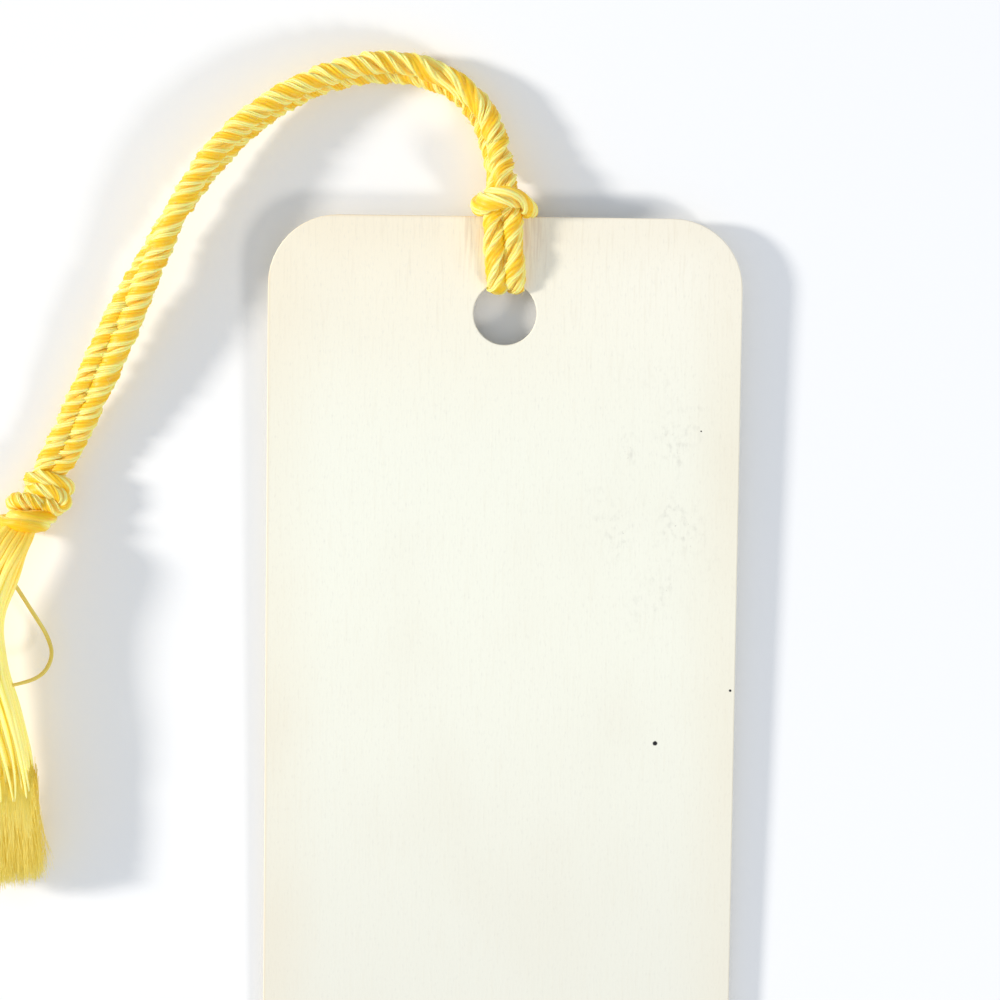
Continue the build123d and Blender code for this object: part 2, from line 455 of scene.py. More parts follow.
    def edge_tone(self, graph: NodeGraph, x: object, y: object, cloud: object) -> bpy.types.NodeSocket:
        """How far age has toned the card, most at its edges.

        Args:
            graph: The material's graph.
            x: The place across the card.
            y: The place along the card.
            cloud: Broad noise that makes the toning uneven.

        Returns:
            The share of the toned colour.
        """
        across = graph.math("SUBTRACT", self.half_width, graph.math("ABSOLUTE", x))
        along = graph.math("SUBTRACT", self.half_length, graph.math("ABSOLUTE", y))
        inset = graph.math("MINIMUM", across, along)
        broad = graph.part(inset, self.toned_inset, graph.span(cloud, self.toned_share))
        worn = graph.span(graph.ramp(x, self.worn_fade), self.worn_share)
        return graph.math("MAXIMUM", broad, graph.part(inset, self.worn_inset, worn))

    def rub_and_shade_marks(self, graph: NodeGraph, x: object, y: object, laid: object) -> bpy.types.NodeSocket:
        """Streaks beside the hitch: rubbing by the cord, and painted shadow of the hitch legs warmed by the
        cord's reflected light.

        Args:
            graph: The material's graph.
            x: The place across the card.
            y: The place along the card.
            laid: The laid lines, which break the streaks up.

        Returns:
            The share of the rubbed and painted shade colour.
        """
        sideways = graph.math("ABSOLUTE", graph.math("SUBTRACT", x, self.rub_shade_middle))
        beside = graph.part(sideways, self.rub_shade_beside, graph.ramp(y, self.rub_shade_fade))
        broken = graph.span(graph.ramp(laid, self.rub_shade_range), self.rub_shade_share)
        return graph.math("MULTIPLY", beside, broken)

    def handling_dirt(self, graph: NodeGraph, flat: object) -> bpy.types.NodeSocket:
        """Grey flecks of dirt where the card has been held.

        Args:
            graph: The material's graph.
            flat: The place on the card.

        Returns:
            The share of dirt.
        """
        away = graph.vector("SUBTRACT", flat, self.dirt_centre)
        scaled = graph.vector("DIVIDE", away, self.dirt_reach)
        distance = graph.vector("DISTANCE", scaled, (0.0, 0.0, 0.0))
        area = graph.part(distance, self.dirt_inside, self.dirt_patches.on(graph, flat))
        marks = graph.math("MAXIMUM", self.dirt_smears.on(graph, flat), self.dirt_flecks.on(graph, flat))
        return graph.math("MULTIPLY", area, marks)


@dataclass(frozen=True)
class RayonFinish:
    """Lustrous yellow rayon: golden on a ply's crest, painted highlight on its flanks, painted shade in its
    grooves.

    The flank highlight's share is for plies laid in a cord. It is 0 for loose yarns, which get a painted
    highlight on their upper side and painted shade on their underside, and are deeper in colour over their
    first stretch, the root's reach. The painted glow is emission that stands for the light that passes
    through the clear fibres and warms their shadows.
    """

    name: str = Slot.CORD.value
    bright: Colour = (255, 210, 26)
    deep: Colour = (252, 188, 2)
    # Painted highlight: pale lemon where side lamps would catch the fibres
    painted_highlight: Colour = (255, 250, 152)
    # Painted shade: deep gold for the grooves and for sides that face away from the light
    painted_shade: Colour = (248, 184, 14)
    root: Colour = (250, 206, 50)
    # Painted glow: emission that warms the shadows, in place of light passed through the clear fibres
    painted_glow: Colour = (255, 204, 40)
    sheen: Colour = (255, 242, 156)
    filament_scale: Point = (0.35, 7.5, 7.5)
    filament_detail: float = 3.0
    filament_range: Range = (0.38, 0.62)
    patch_scale: Point = (0.25, 0.7, 0.7)
    patch_detail: float = 2.0
    patch_range: Range = (0.45, 0.75)
    patch_share: float = 0.4
    # Where and how strongly the painted highlight lies on each ply's flanks
    flank_highlight_range: Range = (0.86, 0.50)
    flank_highlight_streaks: Range = (0.7, 1.3)
    flank_highlight_relief: Range = (0.65, 1.1)
    flank_highlight_share: float = 1.0
    groove_shade_range: Range = (-0.05, -0.5)
    groove_shade_share: float = 0.55
    # Painted highlight on raised or upward-facing yarn, and painted shade on sunken or downward-facing yarn
    relief_highlight_range: Range = (0.55, 1.0)
    relief_highlight_share: float = 0.05
    relief_shade_range: Range = (0.5, 0.1)
    relief_shade_share: float = 0.25
    root_reach: float = 0.0
    root_share: float = 0.85
    roughness: Range = (0.34, 0.56)
    specular: float = 0.5
    sheen_weight: float = 0.9
    sheen_roughness: float = 0.28
    glow: float = 0.45
    glow_spread: Point = (1.0, 0.6, 0.12)
    glow_depth: float = 0.7
    # Strength of the painted glow
    painted_glow_strength: float = 0.06
    bump_strength: float = 0.7
    bump_depth: float = 0.05

    def material(self) -> bpy.types.Material:
        """Build the rayon material.

        Returns:
            The material, placed along each strand by the mesh's own attributes.
        """
        graph = NodeGraph(self.name)
        strand = graph.attribute("strand", "Vector")
        seed = graph.attribute("strand_seed", "Fac")
        axes = graph.node("ShaderNodeSeparateXYZ")
        graph.feed(axes.inputs[0], strand)
        filament = graph.noise(strand, self.filament_scale, self.filament_detail, seed)
        patch = graph.noise(strand, self.patch_scale, self.patch_detail, seed)
        colour = graph.mix(graph.ramp(filament, self.filament_range), linear(self.deep), linear(self.bright))
        layers = [(graph.part(patch, self.patch_range, self.patch_share), self.bright)]
        layers += self.lay_layers(graph, axes, filament)
        graph.feed(graph.shader.inputs["Base Color"], graph.paint(colour, layers))
        graph.feed(graph.shader.inputs["Roughness"], graph.span(filament, self.roughness))
        graph.constants(
            Sheen_Weight=self.sheen_weight,
            Sheen_Roughness=self.sheen_roughness,
            Sheen_Tint=linear(self.sheen),
            Specular_IOR_Level=self.specular,
            Subsurface_Weight=self.glow,
            Subsurface_Radius=self.glow_spread,
            Subsurface_Scale=self.glow_depth * MM,
            Emission_Color=linear(self.painted_glow),
            Emission_Strength=self.painted_glow_strength,
        )
        graph.bump(filament, self.bump_strength, self.bump_depth)
        return graph.material

    def lay_layers(
        self, graph: NodeGraph, axes: bpy.types.Node, filament: object
    ) -> list[tuple[object, Colour]]:
        """The painted highlights and shade that follow the lay of the plies and their yarns, and the root's
        deeper colour.

        Args:
            graph: The material's graph.
            axes: The place along the strand and round it.
            filament: Fine noise along the strand.

        Returns:
            The share and the colour of each layer, from the lowest up.
        """
        along, crest = axes.outputs["X"], axes.outputs["Y"]
        relief = graph.attribute("strand_relief", "Fac")
        layers = []
        if self.flank_highlight_share:
            # Painted highlight on each ply's flanks, streaked by the filaments and fainter where the yarns
            # sink
            edge = graph.part(crest, self.flank_highlight_range, graph.span(filament, self.flank_highlight_streaks))
            edge = graph.math("MULTIPLY", edge, graph.span(relief, self.flank_highlight_relief))
            layers.append((graph.math("MULTIPLY", edge, self.flank_highlight_share), self.painted_highlight))
            # Painted shade in the grooves between the plies
            layers.append((graph.part(crest, self.groove_shade_range, self.groove_shade_share), self.painted_shade))
        # Painted highlight on the yarn crests and on the upper side of loose yarns; painted shade between
        # yarns and on the underside of loose yarns
        layers.append((graph.part(relief, self.relief_highlight_range, self.relief_highlight_share), self.painted_highlight))
        layers.append((graph.part(relief, self.relief_shade_range, self.relief_shade_share), self.painted_shade))
        if self.root_reach:
            layers.append((graph.part(along, (self.root_reach, 0.0), self.root_share), self.root))
        return layers


@dataclass(frozen=True)
class TableFinish:
    """A plain white table top."""

    colour: Colour = (255, 255, 255)
    dimmed: float = 0.99
    patch_scale: Point = (6.0, 6.0, 6.0)
    patch_detail: float = 2.0
    roughness: float = 0.85
    specular: float = 0.1

    def material(self) -> bpy.types.Material:
        """Build the table material.

        Returns:
            A matt white with a trace of unevenness.
        """
        graph = NodeGraph("table_white")
        place = graph.node("ShaderNodeTexCoord").outputs["Object"]
        cloud = graph.noise(place, self.patch_scale, self.patch_detail)
        duller = tuple(int(value * self.dimmed) for value in self.colour)
        colour = graph.mix(cloud, linear(self.colour), linear(duller))
        graph.feed(graph.shader.inputs["Base Color"], colour)
        graph.constants(Roughness=self.roughness, Specular_IOR_Level=self.specular)
        return graph.material


@dataclass(frozen=True)
class RestingPlace:
    """How the card lies on the table: tilted, because the hitch behind it lifts its upper end."""

    tilt: float = 0.80838
    lift: float = 1.37221
    top_edge: float = 76.0

    def on_card(self, point: Point) -> Vector:
        """Place a point given from the middle of the card's top edge, in the card's own tilt.

        Args:
            point: Across the card, up past its top edge, and out from the middle of its thickness.

        Returns:
            The point in the row frame, in millimetres.
        """
        x, y, z = point
        angle = math.radians(self.tilt)
        along = self.top_edge + y
        height = self.lift + along * math.sin(angle) + z * math.cos(angle)
        return Vector((x, along * math.cos(angle) - z * math.sin(angle), height))

    def on_table(self, point: Point) -> Vector:
        """Place a point given across and up from the middle of the card's top edge, and above the table."""
        x, y, z = point
        return Vector((x, self.top_edge * math.cos(math.radians(self.tilt)) + y, z))


@dataclass
class Centreline:
    """A smooth line through a route, with a frame at each of its points that doesn't twist about it."""

    points: np.ndarray
    along: np.ndarray = field(init=False)
    tangent: np.ndarray = field(init=False)
    normal: np.ndarray = field(init=False)
    side: np.ndarray = field(init=False)

    def __post_init__(self) -> None:
        """Work out the arc lengths and the frames."""
        steps = np.linalg.norm(np.diff(self.points, axis=0), axis=1)
        self.along = np.concatenate([[0.0], np.cumsum(steps)])
        slope = np.gradient(self.points, self.along, axis=0)
        self.tangent = slope / np.linalg.norm(slope, axis=1)[:, None]
        self.normal = np.zeros_like(self.points)
        start = np.cross(self.tangent[0], ASIDE)
        self.normal[0] = start / np.linalg.norm(start)
        for index in range(1, len(self.points)):
            carried = self.normal[index - 1]
            carried = carried - self.tangent[index] * (carried @ self.tangent[index])
            self.normal[index] = carried / np.linalg.norm(carried)
        self.side = np.cross(self.tangent, self.normal)

    @classmethod
    def of_route(cls, name: str, route: list[Vector], steps: int) -> "Centreline":
        """Read the line of a NURBS spline that has the route as its control points.

        Args:
            name: The spline's name.
            route: The control points, in millimetres.
            steps: Points on the line for each control point.

        Returns:
            The centreline, in millimetres.
        """
        curve = bpy.data.curves.new(name, "CURVE")
        curve.dimensions = "3D"
        curve.resolution_u = steps
        spline = curve.splines.new("NURBS")
        spline.points.add(len(route) - 1)
        for control, point in zip(spline.points, route):
            control.co = (*(point * MM), 1.0)
        spline.order_u = SPLINE_ORDER
        spline.use_endpoint_u = True
        holder = bpy.data.objects.new(name, curve)
        bpy.context.scene.collection.objects.link(holder)
        bpy.context.view_layer.update()
        mesh = bpy.data.meshes.new_from_object(holder)
        points = np.array([vertex.co for vertex in mesh.vertices], float) / MM
        bpy.data.objects.remove(holder)
        bpy.data.curves.remove(curve)
        bpy.data.meshes.remove(mesh)
        return cls(points)

    def bell(self, place: Vector, reach: float) -> np.ndarray:
        """A bell along the line: 1 where it passes nearest to a place, and about a third a reach away."""
        nearest = int(np.argmin(np.linalg.norm(self.points - np.array(place), axis=1)))
        return np.exp(-(((self.along - self.along[nearest]) / reach) ** 2))

    def tube(self, radius: np.ndarray, sides: int) -> np.ndarray:
        """Rings of points round the line.

        Args:
            radius: A row for each point of the line, with one radius or one for each side.
            sides: Points in a ring.

        Returns:
            The rings, in millimetres.
        """
        around = ring_angles(sides)[None, :, None]
        ring = np.cos(around) * self.normal[:, None] + np.sin(around) * self.side[:, None]
        return self.points[:, None] + radius[..., None] * ring

    def path(self, first: int, last: int) -> list[list[float]]:
        """The points from first to last, in metres."""
        return (self.points[first : last + 1] * MM).tolist()

    def length(self, first: int, last: int) -> float:
        """The length from first to last, in metres."""
        return float(self.along[last] - self.along[first]) * MM


class TubeMesh:
    """Collects closed tubes, each a stack of rings, into one smooth mesh with its strands' coordinates."""

    def __init__(self) -> None:
        """Start with no tubes."""
        self.points: list[np.ndarray] = []
        self.faces: list[list[int]] = []
        self.strand: list[np.ndarray] = []
        self.seed: list[np.ndarray] = []
        self.relief: list[np.ndarray] = []
        self.caps: list[int] = []
        self.count = 0

    def add(
        self,
        rings: np.ndarray,
        along: np.ndarray,
        seed: float,
        relief: np.ndarray | None = None,
        calm: np.ndarray | float = 0.0,
    ) -> None:
        """Add a tube.

        Args:
            rings: Ring by ring the points round the tube, in millimetres.
            along: How far along the strand each ring is.
            seed: A number that sets this strand's filaments apart.
            relief: 0 in a groove and 1 on a crest, at each point; how far the surface faces up if left out,
                which then sets a painted highlight on top and painted shade below.
            calm: How far the flanks take the crest's colour instead of their painted highlight, at each ring.
        """
        # Without a relief, the share facing up is stored, for a painted highlight on top and painted shade
        # below
        if relief is None:
            away = rings - rings.mean(axis=1, keepdims=True)
            relief = (1 + away[..., 2] / np.linalg.norm(away, axis=2)) / 2
        rows, sides = rings.shape[:2]
        index = self.count + np.arange(rows * sides).reshape(rows, sides)
        lower, upper = index[:-1], index[1:]
        quads = np.stack([lower, np.roll(lower, -1, 1), np.roll(upper, -1, 1), upper], axis=-1)
        self.faces += quads.reshape(-1, 4).tolist()
        self.caps += [len(self.faces), len(self.faces) + 1]
        self.faces.append(index[0][::-1].tolist())
        self.faces.append(index[-1].tolist())
        angle = ring_angles(sides)
        strand = np.zeros((rows, sides, 3))
        strand[..., 0] = along[:, None]
        eased = np.broadcast_to(calm, (rows,))[:, None]
        strand[..., 1] = np.cos(angle) * (1 - eased) + eased
        strand[..., 2] = np.sin(angle)
        self.points.append(rings.reshape(-1, 3))
        self.strand.append(strand.reshape(-1, 3))
        self.seed.append(np.full(rows * sides, seed))
        self.relief.append(relief.reshape(-1))
        self.count += rows * sides

    def build(self, name: str, material: bpy.types.Material) -> bpy.types.Object:
        """Make the object.

        Args:
            name: The piece's name.
            material: Its finish.

        Returns:
            The object, linked to the scene.
        """
        mesh = bpy.data.meshes.new(name)
        mesh.from_pydata((np.concatenate(self.points) * MM).tolist(), [], self.faces)
        smooth = np.ones(len(self.faces), bool)
        smooth[self.caps] = False
        mesh.polygons.foreach_set("use_smooth", smooth)
        layers = (
            ("strand", "FLOAT_VECTOR", self.strand, "vector"),
            ("strand_seed", "FLOAT", self.seed, "value"),
            ("strand_relief", "FLOAT", self.relief, "value"),
        )
        for layer, kind, values, key in layers:
            stored = mesh.attributes.new(layer, kind, "POINT")
            stored.data.foreach_set(key, np.concatenate(values).astype(np.float32).ravel())
        mesh.materials.append(material)
        made = bpy.data.objects.new(name, mesh)
        bpy.context.scene.collection.objects.link(made)
        return made


@dataclass(frozen=True)
class TwistedCord:
    """A cord of two plies laid right-handed, each ply a flattened and slightly uneven bundle of yarns."""

    plies: int = 2
    ply_offset: float = 0.45
    ply_radial: float = 0.63
    ply_tangential: float = 0.97
    lay: float = 5.0
    yarns: int = 9
    yarn_depth: float = 0.09
    yarn_level: float = 0.7
    yarn_stand: float = 0.075
    yarn_wave: float = 3.6
    yarn_phase: float = 2.4
    yarn_turn: float = -0.28
    points_per_yarn: int = 6
    uneven: float = 0.06
    uneven_rate: float = 1.3
    uneven_phase: float = 1.6
    sway: float = 0.22
    sway_rate: float = 0.9
    fuzz_per_mm: float = 9.0
    fuzz_length: Range = (0.25, 0.85)
    fuzz_curl: Range = (-0.5, 0.9)
    fuzz_bow: float = 0.7
    fuzz_stand: float = 0.6
    fuzz_diameter: float = 0.028
    fuzz_taper: float = 0.6
    fuzz_sides: int = 3
    fuzz_steps: int = 5
    fuzz_seed: float = 0.37
    outer_share: int = 4
    table: float = 0.002

    def twist(self, line: Centreline, loosened: list[tuple[Vector, float, float]]) -> np.ndarray:
        """The angle that the plies have turned through along a line.

        Args:
            line: The cord's centreline.
            loosened: Stretches where the lay opens: the place, the reach and the share of twist lost.

        Returns:
            The angle at each point of the line.
        """
        lay = np.full(len(line.along), self.lay)
        for place, reach, share in loosened:
            lay /= 1 - share * line.bell(place, reach)
        return self.wind(line, lay)

    def wind(self, line: Centreline, lay: np.ndarray) -> np.ndarray:
        """Add up the plies' turning along a line.

        Args:
            line: The cord's centreline.
            lay: The length of a full turn at each point of the line.

        Returns:
            The angle at each point of the line.
        """
        rate = 2 * math.pi / lay
        steps = np.diff(line.along) * (rate[1:] + rate[:-1]) / 2
        return np.concatenate([[0.0], np.cumsum(steps)])

    def strands(
        self,
        line: Centreline,
        turn: np.ndarray,
        fullness: np.ndarray,
        press: np.ndarray | None = None,
        press_axis: np.ndarray | None = None,
        calm: np.ndarray | float = 0.0,
    ) -> list[tuple[np.ndarray, np.ndarray]]:
        """Lay the plies along a line.

        Args:
            line: The cord's centreline.
            turn: The angle that the plies have turned through at each point.
            fullness: Scale of the section at each point.
            press: The share of thickness kept where the cord is pressed flat, at each point.
            press_axis: The direction in which it is pressed, at each point.
            calm: How far its yarns are drawn smooth, at each point.

        Returns:
            The rings of each ply, and the relief of its yarns.
        """
        sides = self.yarns * self.points_per_yarn
        around = ring_angles(sides)
        yarn_angle = around[None, :] + self.yarn_turn * turn[:, None]
        yarn = np.round(self.yarns * yarn_angle / (2 * math.pi)) % self.yarns
        rough = np.broadcast_to(1.0 - calm, turn.shape)[:, None]
        level = self.yarn_level
        relief = level + (np.abs(np.cos(self.yarns / 2 * yarn_angle)) - level) * rough
        laid = []
        for ply in range(self.plies):
            phase = 2 * math.pi * ply / self.plies
            angle = turn + phase + self.sway * np.sin(self.sway_rate * line.along + phase)
            bulge = np.sin(self.uneven_rate * line.along + self.uneven_phase * phase)
            girth = fullness * (1 + self.uneven * bulge)
            outward = line.normal * np.cos(angle)[:, None] + line.side * np.sin(angle)[:, None]
            sideways = line.side * np.cos(angle)[:, None] - line.normal * np.sin(angle)[:, None]
            waves = 2 * math.pi * line.along[:, None] / self.yarn_wave
            wave = np.sin(waves + self.yarn_phase * yarn + phase)
            stand = self.yarn_stand * rough * relief * wave
            swell = girth[:, None] * (1 + (self.yarn_depth * (relief - level) + stand) / self.ply_radial)
            radial = fullness[:, None] * self.ply_offset + self.ply_radial * swell * np.cos(around)
            tangential = self.ply_tangential * swell * np.sin(around)
            offset = radial[..., None] * outward[:, None] + tangential[..., None] * sideways[:, None]
            if press is not None:
                across = np.einsum("ijk,ik->ij", offset, press_axis) * (1 - press)[:, None]
                offset = offset - across[..., None] * press_axis[:, None]
            rings = line.points[:, None] + offset
            rings[..., 2] = np.maximum(rings[..., 2], self.table)
            laid.append((rings, relief))
        return laid

    def add_fuzz(
        self,
        mesh: TubeMesh,
        line: Centreline,
        rings: np.ndarray,
        part: slice,
        draw: random.Random,
    ) -> None:
        """Add the loose filaments that stand off a ply.

        Args:
            mesh: The mesh that takes them.
            line: The cord's centreline.
            rings: The ply's rings along the whole line.
            part: The stretch of the line to cover.
            draw: The source of their places and lengths.
        """
        share = np.linspace(0, 1, self.fuzz_steps)[:, None]
        sides = rings.shape[1]
        length = line.along[part.stop - 1] - line.along[part.start]
        for number in range(int(self.fuzz_per_mm * length / self.plies)):
            index = draw.randrange(part.start, part.stop)
            outer = draw.randrange(-sides // self.outer_share, sides // self.outer_share)
            root = rings[index, outer]
            outward = root - line.points[index]
            outward = outward / np.linalg.norm(outward)
            run = line.tangent[index] * draw.uniform(-1, 1)
            run = run + np.cross(line.tangent[index], outward) * draw.uniform(-1, 1)
            reach = draw.uniform(*self.fuzz_length)
            curl = reach * draw.uniform(*self.fuzz_curl)
            bow = np.sin(math.pi * share * self.fuzz_bow) * curl * outward * self.fuzz_stand
            points = root + share * reach * run + bow
            points[:, 2] = np.maximum(points[:, 2], self.fuzz_diameter)
            hair = Centreline(points)
            radius = self.fuzz_diameter / 2 * (1 - self.fuzz_taper * share)
            mesh.add(hair.tube(radius, self.fuzz_sides), hair.along, number * self.fuzz_seed)


@dataclass(frozen=True)
class KnotPlace:
    """Where the overhand knot lies: its middle, the way the cord runs through it, and its height."""

    centre: Flat = (-46.6, -29.3)
    heading: Flat = (-0.41, -0.912)
    height: float = 2.25

    def at(self, place: RestingPlace, point: Point) -> Vector:
        """Place a point that is given in the knot's own frame.

        Args:
            place: How the card lies.
            point: Across the cord towards the card, up, and along the cord towards the tassel.

        Returns:
            The point in the row frame, in millimetres.
        """
        x, y, z = point
        heading = Vector((*self.heading, 0.0)).normalized()
        across = Vector((0.0, 0.0, 1.0)).cross(heading)
        origin = place.on_table((*self.centre, self.height))
        return origin + across * x + Vector((0.0, 0.0, y)) + heading * z


@dataclass
class Card:
    """The card, which keeps its solid."""

    finish: PaperFinish = field(default_factory=PaperFinish)

    def dress(self, node: bpy.types.Object) -> None:
        """Give the card its paper finish.

        Args:
            node: The card's solid.
        """
        material = self.finish.material()
        node.data.materials.clear()
        node.data.materials.append(material)
        LOG.info("card dressed")


@dataclass
class HitchedCord:
    """The doubled cord from its hitch through the hole to the knot, as one line from tail end to tail end.

    The legs and the bight are given in the card's own tilt and the tails above the table, all from the middle
    of the card's top edge. The tails' last points are half their gap, its middle and their run in the knot's
    frame. A swell is a place, its reach and the fullness there. A loosened stretch is a place, its reach and
    the share of twist lost.
    """

    place: RestingPlace
    knot: KnotPlace
    cord: TwistedCord = field(default_factory=TwistedCord)
    diameter: float = 2.0
    steps: int = 22
    seed: int = 7
    ply_seed: float = 3.7
    hitch_half: float = 2.6
    front_height: float = 2.6
    neck_start: float = 1.6
    neck_end: float = 7.4
    flip_window: Range = (3.0, 7.4)
    swing_start: Point = (-2.0, 7.7, 3.85)
    swing_end: Point = (-6.9, 12.0, 3.85)
    rim: Flat = (-6.7, 0.0)
    rim_press: float = 0.5
    rim_reach: float = 1.9
    left_leg: tuple[Point, ...] = (
        (-0.85, 3.4, 0.45),
        (-1.08, 1.8, 0.95),
        (-1.28, 0.0, 1.22),
        (-1.16, -2.8, 1.22),
        (-0.92, -5.4, 1.10),
        (-0.74, -7.2, 0.95),
        (-0.85, -7.3, -0.95),
        (-1.45, -5.4, -1.12),
        (-1.25, -2.6, -1.30),
    )
    bight: tuple[Point, ...] = (
        (-1.15, 0.3, -1.30),
        (-2.0, 0.9, -1.10),
        (-2.5, 1.05, 0.2),
        (-2.45, 1.15, 2.0),
        (-1.7, 1.6, 3.25),
        (-0.2, 2.1, 3.85),
        (1.0, 1.9, 3.55),
        (1.9, 1.2, 2.6),
        (2.35, 0.65, 1.0),
        (2.2, 0.55, -0.8),
        (1.15, 0.2, -1.30),
    )
    right_leg: tuple[Point, ...] = (
        (1.35, -2.6, -1.30),
        (1.90, -5.5, -1.15),
        (1.0, -7.3, -0.95),
        (0.86, -7.2, 0.95),
        (0.86, -5.4, 1.10),
        (0.68, -2.8, 1.22),
        (0.52, 0.0, 1.25),
        (0.25, 1.8, 1.55),
        (-0.15, 3.4, 1.45),
    )
    left_tail: tuple[Point, ...] = (
        (-1.15, 5.4, 1.6),
        (-1.75, 7.6, 1.15),
        (-2.9, 10.4, 1.05),
        (-5.0, 12.5, 1.05),
        (-7.6, 13.7, 1.05),
        (-11.0, 14.4, 1.15),
        (-15.2, 14.1, 1.5),
        (-19.8, 12.7, 1.95),
        (-24.5, 9.9, 2.45),
        (-28.7, 5.8, 2.9),
        (-32.6, 0.6, 3.15),
        (-36.1, -5.2, 3.25),
        (-39.2, -11.0, 3.3),
        (-41.8, -16.7, 3.1),
    )
    right_tail: tuple[Point, ...] = (
        (-0.55, 5.4, 3.0),
        (-1.05, 7.8, 2.5),
        (-2.3, 10.8, 2.4),
        (-4.6, 13.0, 2.45),
        (-7.6, 14.5, 2.5),
        (-11.2, 15.3, 2.65),
        (-15.5, 14.8, 3.2),
        (-20.1, 13.1, 3.7),
        (-24.9, 10.2, 4.2),
        (-29.2, 6.2, 4.65),
        (-32.6, 0.7, 4.95),
        (-35.2, -5.5, 4.7),
        (-37.7, -11.45, 3.95),
        (-40.3, -17.35, 3.3),
    )
    knot_runs: tuple[Point, ...] = (
        (0.78, -0.1, -6.2),
        (0.66, -0.4, -3.6),
        (0.55, -0.3, -1.4),
        (0.5, -0.3, 0.8),
    )
    swells: tuple[Spot, ...] = (
        (-1.3, -2.0, 3.6, 3.2, 0.93),
        (0.7, -2.0, 3.7, 3.2, 0.93),
        (-1.0, -3.0, 1.1, 3.6, 0.88),
        (1.0, -3.0, 1.1, 3.6, 0.88),
        (-0.8, -7.3, 2.2, 1.8, 0.88),
        (0.9, -7.3, 2.2, 1.8, 0.90),
        (-2.3, 1.1, 4.2, 1.6, 0.96),
        (2.2, 0.9, 4.2, 2.2, 0.72),
        (-0.7, 5.6, 3.0, 2.6, 1.10),
        (-38.5, -10.0, 3.3, 11.0, 1.10),
        (-36.8, -10.0, 4.2, 11.0, 1.10),
        (-45.4, -26.6, 2.25, 1.8, 0.84),
    )
    loosened: tuple[Spot, ...] = (
        (-1.3, -3.5, 3.6, 3.5, 0.45),
        (0.7, -3.5, 3.7, 3.5, 0.45),
        (-5.8, 13.9, 3.0, 4.5, 0.72),
        (0.0, 2.1, 6.3, 3.0, 0.55),
    )

    def tail_end(self, side: Side) -> list[Vector]:
        """The last points of a tail, which run side by side into the knot.

        Args:
            side: Which tail it is.

        Returns:
            The points in the row frame, in millimetres.
        """
        points = []
        for half, middle, run in self.knot_runs:
            points.append(self.knot.at(self.place, (middle + side.value * half, 0.0, run)))
        return points

    def route(self) -> list[Vector]:
        """All the control points, from the left tail's end through the hitch to the right tail's end.

        Returns:
            The points in the row frame, in millimetres.
        """
        left = [self.place.on_table(point) for point in self.left_tail] + self.tail_end(Side.LEFT)
        right = [self.place.on_table(point) for point in self.right_tail] + self.tail_end(Side.RIGHT)
        hitch = [self.place.on_card(point) for point in self.left_leg + self.bight + self.right_leg]
        return left[::-1] + hitch + right

    def pressed(self, line: Centreline) -> tuple[np.ndarray, np.ndarray]:
        """How flat the hole's rim presses the cord, and in which direction.

        Args:
            line: The cord's centreline.

        Returns:
            The share of thickness kept and the direction of pressing, at each point.
        """
        rim = self.place.on_card((0.0, *self.rim))
        away = np.hypot(line.points[:, 1] - rim.y, line.points[:, 2] - rim.z)
        kept = 1 - self.rim_press * np.exp(-((away / self.rim_reach) ** 2))
        axis = np.cross(line.tangent, (1.0, 0.0, 0.0))
        return kept, axis / np.maximum(np.linalg.norm(axis, axis=1), TINY)[:, None]

    def fullness(self, line: Centreline) -> np.ndarray:
        """How full the cord is: drawn thin where it is tight, and fat where it is slack.

        Args:
            line: The cord's centreline.

        Returns:
            The scale of its section, at each point.
        """
        full = np.ones(len(line.points))
        for *place, reach, share in self.swells:
            full *= 1 + (share - 1) * line.bell(self.place.on_table(place), reach)
        return full

    def cuts(self, line: Centreline) -> list[int]:
        """Where the line is cut into tail, neck, hitch, neck and tail.

        Args:
            line: The cord's centreline.

        Returns:
            Six places on the line, from one tail's end to the other's.
        """
        neck = self.place.on_table((0.0, self.neck_start, 0.0)).y
        tail = self.place.on_table((0.0, self.neck_end, 0.0)).y
        middle = len(line.points) // 2
        across, up, height = line.points.T
        in_front = (np.abs(across) < self.hitch_half) & (height > self.front_height)
        low = np.flatnonzero(in_front & (up < neck))
        left_hitch = int(low[low < middle].min())
        right_hitch = int(low[low > middle].max())
        left_tail = int(np.flatnonzero(up[:left_hitch] > tail).max())
        right_tail = right_hitch + int(np.flatnonzero(up[right_hitch:] > tail).min())
        return [0, left_tail, left_hitch, right_hitch, right_tail, len(line.points) - 1]

    def build(self, material: bpy.types.Material, hung: list[bpy.types.Object]) -> None:
        """Build the hitch, the necks and the tails.

        Args:
            material: The cord's finish.
            hung: The knot and the tassel, which hang on both tails; not used.
        """
        line = Centreline.of_route("cord_route", self.route(), self.steps)
        kept, axis = self.pressed(line)
        slack = [(self.place.on_table(place), reach, share) for *place, reach, share in self.loosened]
        turn = self.cord.twist(line, slack)
        strands = self.cord.strands(line, turn, self.fullness(line), kept, axis)
        draw = random.Random(self.seed)
        cuts = self.cuts(line)
        names = (
            "tail_of_cord_left",
            "neck_of_cord_left",
            "lark_head_hitch",
            "neck_of_cord_right",
            "tail_of_cord_right",
        )
        pieces = {}
        for name, first, last in zip(names, cuts, cuts[1:]):
            mesh = TubeMesh()
            part = slice(first, last + 1)
            for ply, (rings, relief) in enumerate(strands):
                mesh.add(rings[part], line.along[part], self.ply_seed * (ply + 1), relief[part])
                self.cord.add_fuzz(mesh, line, rings, part, draw)
            pieces[name] = mesh.build(name, material)
            LOG.info("%s: %.1f mm", name, line.along[last] - line.along[first])
        self.attach(pieces, line, cuts)

